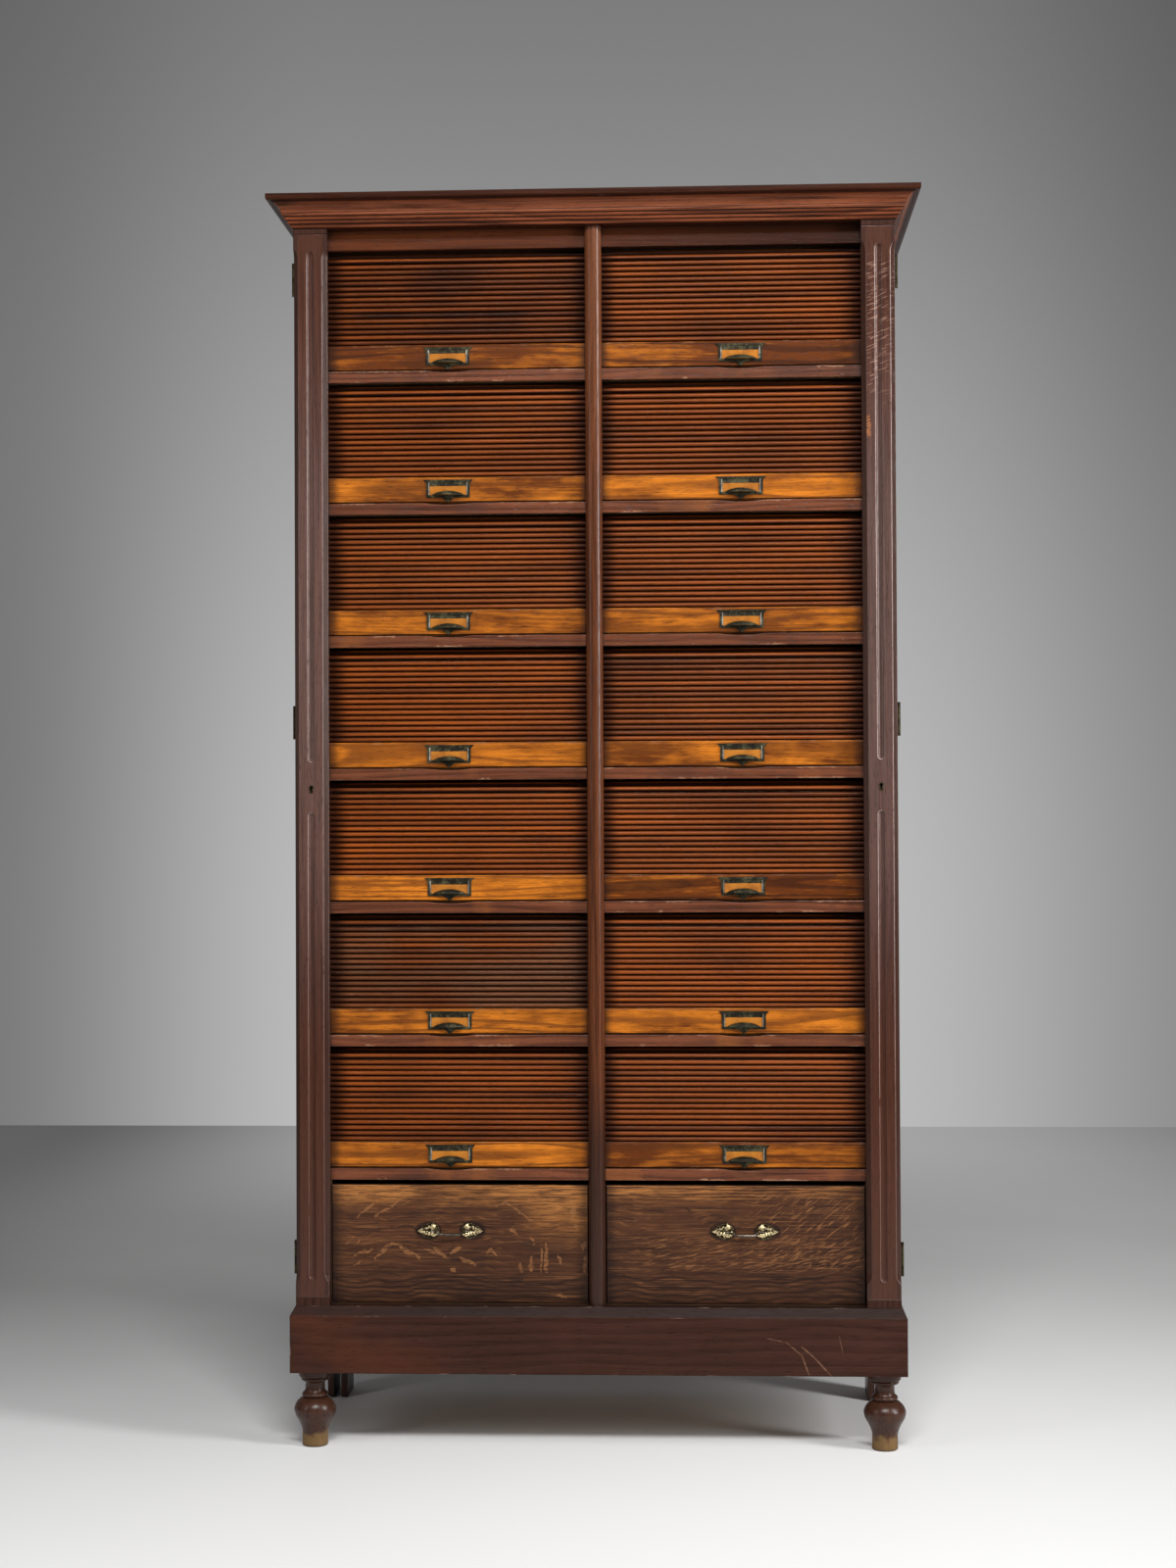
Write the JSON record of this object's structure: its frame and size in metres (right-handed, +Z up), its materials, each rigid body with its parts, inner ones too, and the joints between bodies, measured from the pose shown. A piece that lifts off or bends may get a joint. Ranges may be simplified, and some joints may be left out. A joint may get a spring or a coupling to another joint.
{
  "type": "roll-front filing cabinet",
  "caption": "Tall oak filing cabinet with two columns of slatted roll shutters over drawers, hinged locking pilasters, moulded cornice and turned front feet.",
  "frame": {"origin": "middle of the footprint on the floor", "axes": "+Z up, the front faces -Y, +X to the right seen from the front"},
  "size_m": [1.08, 0.476, 2.08],
  "materials": {
    "carcass_oak": "worn varnish",
    "bead_oak": "worn varnish",
    "plinth_oak": "worn varnish",
    "shelf_oak": "worn varnish",
    "inner_oak": "bare",
    "foot_oak": "worn varnish",
    "pilaster_oak": "worn varnish",
    "drawer_oak": "worn varnish",
    "rail_oak": "worn varnish",
    "slat_oak": "worn varnish",
    "aged_brass": "tarnished",
    "handle_brass": "rubbed"
  },
  "bodies": {
    "carcass": {"left_side_panel": "carcass_oak", "right_side_panel": "carcass_oak", "centre_partition": "carcass_oak", "centre_bead": "bead_oak", "shelves": "shelf_oak", "carcass_top": "inner_oak", "bottom_board": "inner_oak", "back_boards": "inner_oak", "frieze_rail": "carcass_oak", "cornice": "carcass_oak", "top_board": "carcass_oak", "plinth": "plinth_oak", "plinth_blocks": "inner_oak", "front_feet": "foot_oak", "rear_legs": "inner_oak", "pilaster_caps": "plinth_oak", "carcass_hinge_leaves": "aged_brass", "drawer_guides": "inner_oak"},
    "left_pilaster": {"left_pilaster": "pilaster_oak", "left_pilaster_fittings": "aged_brass"},
    "left_bolt": {"left_lock_bolt": "aged_brass"},
    "left_drawer": {"left_drawer_front": "drawer_oak", "left_drawer_box": "inner_oak", "left_drawer_rosettes": "handle_brass"},
    "left_bail": {"left_drawer_bail": "handle_brass"},
    "right_pilaster": {"right_pilaster": "pilaster_oak", "right_pilaster_fittings": "aged_brass"},
    "right_bolt": {"right_lock_bolt": "aged_brass"},
    "right_drawer": {"right_drawer_front": "drawer_oak", "right_drawer_box": "inner_oak", "right_drawer_rosettes": "handle_brass"},
    "right_bail": {"right_drawer_bail": "handle_brass"},
    "shutter_left_1": {"shutter_rail_left_1": "rail_oak", "shutter_slats_left_1": "slat_oak"},
    "shutter_left_2": {"shutter_rail_left_2": "rail_oak", "shutter_slats_left_2": "slat_oak"},
    "shutter_left_3": {"shutter_rail_left_3": "rail_oak", "shutter_slats_left_3": "slat_oak"},
    "shutter_left_4": {"shutter_rail_left_4": "rail_oak", "shutter_slats_left_4": "slat_oak"},
    "shutter_left_5": {"shutter_rail_left_5": "rail_oak", "shutter_slats_left_5": "slat_oak"},
    "shutter_left_6": {"shutter_rail_left_6": "rail_oak", "shutter_slats_left_6": "slat_oak"},
    "shutter_left_7": {"shutter_rail_left_7": "rail_oak", "shutter_slats_left_7": "slat_oak"},
    "shutter_right_1": {"shutter_rail_right_1": "rail_oak", "shutter_slats_right_1": "slat_oak"},
    "shutter_right_2": {"shutter_rail_right_2": "rail_oak", "shutter_slats_right_2": "slat_oak"},
    "shutter_right_3": {"shutter_rail_right_3": "rail_oak", "shutter_slats_right_3": "slat_oak"},
    "shutter_right_4": {"shutter_rail_right_4": "rail_oak", "shutter_slats_right_4": "slat_oak"},
    "shutter_right_5": {"shutter_rail_right_5": "rail_oak", "shutter_slats_right_5": "slat_oak"},
    "shutter_right_6": {"shutter_rail_right_6": "rail_oak", "shutter_slats_right_6": "slat_oak"},
    "shutter_right_7": {"shutter_rail_right_7": "rail_oak", "shutter_slats_right_7": "slat_oak"}
  },
  "joints": [
    {"name": "left_pilaster_hinge", "type": "hinge", "parent": "carcass", "child": "left_pilaster", "pos_m": [-0.50305, -0.17625, 1.1], "axis": [0, 0, -1], "range_deg": [0, 175]},
    {"name": "left_bolt_slide", "type": "slide", "parent": "left_pilaster", "child": "left_bolt", "axis": [-1, 0, 0], "range_m": [0, 0.009]},
    {"name": "left_drawer_slide", "type": "slide", "parent": "carcass", "child": "left_drawer", "axis": [0, -1, 0], "range_m": [0, 0.3]},
    {"name": "left_bail_hinge", "type": "hinge", "parent": "left_drawer", "child": "left_bail", "pos_m": [-0.2445, -0.186, 0.359], "axis": [-1, 0, 0], "range_deg": [0, 85]},
    {"name": "right_pilaster_hinge", "type": "hinge", "parent": "carcass", "child": "right_pilaster", "pos_m": [0.50305, -0.17625, 1.1], "axis": [0, 0, 1], "range_deg": [0, 175]},
    {"name": "right_bolt_slide", "type": "slide", "parent": "right_pilaster", "child": "right_bolt", "axis": [1, 0, 0], "range_m": [0, 0.009]},
    {"name": "right_drawer_slide", "type": "slide", "parent": "carcass", "child": "right_drawer", "axis": [0, -1, 0], "range_m": [0, 0.3]},
    {"name": "right_bail_hinge", "type": "hinge", "parent": "right_drawer", "child": "right_bail", "pos_m": [0.2445, -0.186, 0.359], "axis": [-1, 0, 0], "range_deg": [0, 85]},
    {"name": "shutter_left_1_lift", "type": "slide", "parent": "carcass", "child": "shutter_left_1", "axis": [0, 0, 1], "range_m": [0, 0.136], "deforming": ["shutter_slats_left_1"]},
    {"name": "shutter_left_2_lift", "type": "slide", "parent": "carcass", "child": "shutter_left_2", "axis": [0, 0, 1], "range_m": [0, 0.136], "deforming": ["shutter_slats_left_2"]},
    {"name": "shutter_left_3_lift", "type": "slide", "parent": "carcass", "child": "shutter_left_3", "axis": [0, 0, 1], "range_m": [0, 0.136], "deforming": ["shutter_slats_left_3"]},
    {"name": "shutter_left_4_lift", "type": "slide", "parent": "carcass", "child": "shutter_left_4", "axis": [0, 0, 1], "range_m": [0, 0.136], "deforming": ["shutter_slats_left_4"]},
    {"name": "shutter_left_5_lift", "type": "slide", "parent": "carcass", "child": "shutter_left_5", "axis": [0, 0, 1], "range_m": [0, 0.136], "deforming": ["shutter_slats_left_5"]},
    {"name": "shutter_left_6_lift", "type": "slide", "parent": "carcass", "child": "shutter_left_6", "axis": [0, 0, 1], "range_m": [0, 0.136], "deforming": ["shutter_slats_left_6"]},
    {"name": "shutter_left_7_lift", "type": "slide", "parent": "carcass", "child": "shutter_left_7", "axis": [0, 0, 1], "range_m": [0, 0.136], "deforming": ["shutter_slats_left_7"]},
    {"name": "shutter_right_1_lift", "type": "slide", "parent": "carcass", "child": "shutter_right_1", "axis": [0, 0, 1], "range_m": [0, 0.136], "deforming": ["shutter_slats_right_1"]},
    {"name": "shutter_right_2_lift", "type": "slide", "parent": "carcass", "child": "shutter_right_2", "axis": [0, 0, 1], "range_m": [0, 0.136], "deforming": ["shutter_slats_right_2"]},
    {"name": "shutter_right_3_lift", "type": "slide", "parent": "carcass", "child": "shutter_right_3", "axis": [0, 0, 1], "range_m": [0, 0.136], "deforming": ["shutter_slats_right_3"]},
    {"name": "shutter_right_4_lift", "type": "slide", "parent": "carcass", "child": "shutter_right_4", "axis": [0, 0, 1], "range_m": [0, 0.136], "deforming": ["shutter_slats_right_4"]},
    {"name": "shutter_right_5_lift", "type": "slide", "parent": "carcass", "child": "shutter_right_5", "axis": [0, 0, 1], "range_m": [0, 0.136], "deforming": ["shutter_slats_right_5"]},
    {"name": "shutter_right_6_lift", "type": "slide", "parent": "carcass", "child": "shutter_right_6", "axis": [0, 0, 1], "range_m": [0, 0.136], "deforming": ["shutter_slats_right_6"]},
    {"name": "shutter_right_7_lift", "type": "slide", "parent": "carcass", "child": "shutter_right_7", "axis": [0, 0, 1], "range_m": [0, 0.136], "deforming": ["shutter_slats_right_7"]}
  ]
}
